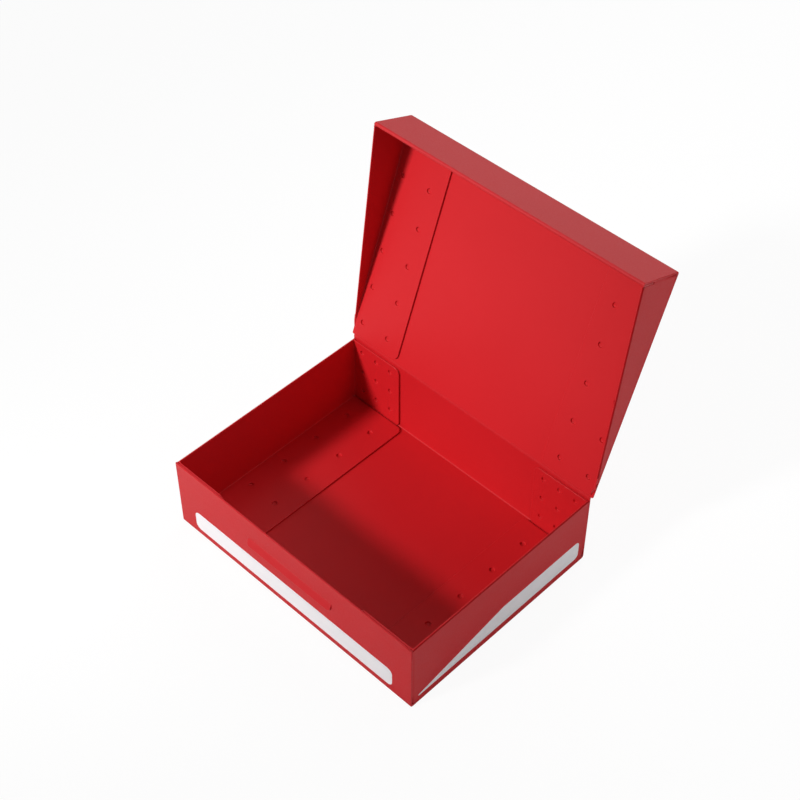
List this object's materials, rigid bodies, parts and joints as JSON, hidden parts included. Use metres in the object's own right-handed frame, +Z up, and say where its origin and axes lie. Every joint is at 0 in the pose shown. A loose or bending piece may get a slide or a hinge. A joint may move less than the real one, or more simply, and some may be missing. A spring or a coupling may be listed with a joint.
{
  "type": "game counter box",
  "caption": "Shallow box folded from plastic sheet for game counters: a tray with welded corner flaps, a lid on a living hinge with tapering sides, and a snap tongue in the front wall.",
  "frame": {"origin": "middle of the floor's underside", "axes": "+X to the right, -Y out of the front wall, +Z up; the lid stands open at rest"},
  "size_m": [0.0966, 0.0998, 0.1023],
  "materials": {
    "red_sheet": "fine matte polypropylene sheet",
    "white_print": "opaque white screen print"
  },
  "bodies": {
    "tray": {"floor_panel": "red_sheet", "front_wall": "red_sheet", "back_wall": "red_sheet", "hinge_crease": "red_sheet", "left_wall": "red_sheet", "right_wall": "red_sheet", "left_back_flap": "red_sheet", "right_back_flap": "red_sheet", "left_front_flap": "red_sheet", "right_front_flap": "red_sheet", "left_floor_flap": "red_sheet", "right_floor_flap": "red_sheet", "front_band": "white_print", "left_band": "white_print", "right_band": "white_print"},
    "lid": {"lid_panel": "red_sheet", "lid_front_wall": "red_sheet", "lid_front_hem": "red_sheet", "lid_left_wall": "red_sheet", "lid_right_wall": "red_sheet", "lid_left_flap": "red_sheet", "lid_right_flap": "red_sheet", "lid_left_corner_flap": "red_sheet", "lid_right_corner_flap": "red_sheet"},
    "tongue": {"snap_tongue": "red_sheet"}
  },
  "joints": [
    {"name": "lid_hinge", "type": "hinge", "parent": "tray", "child": "lid", "pos_m": [0, 0.03633, 0.02703], "axis": [-1, 0, 0], "range_deg": [-110.42, 69.58]},
    {"name": "tongue_flex", "type": "hinge", "parent": "tray", "child": "tongue", "pos_m": [0, -0.03633, 0.018], "axis": [1, 0, 0], "range_deg": [0, 20], "stiffness_Nm_per_rad": 0.04}
  ]
}
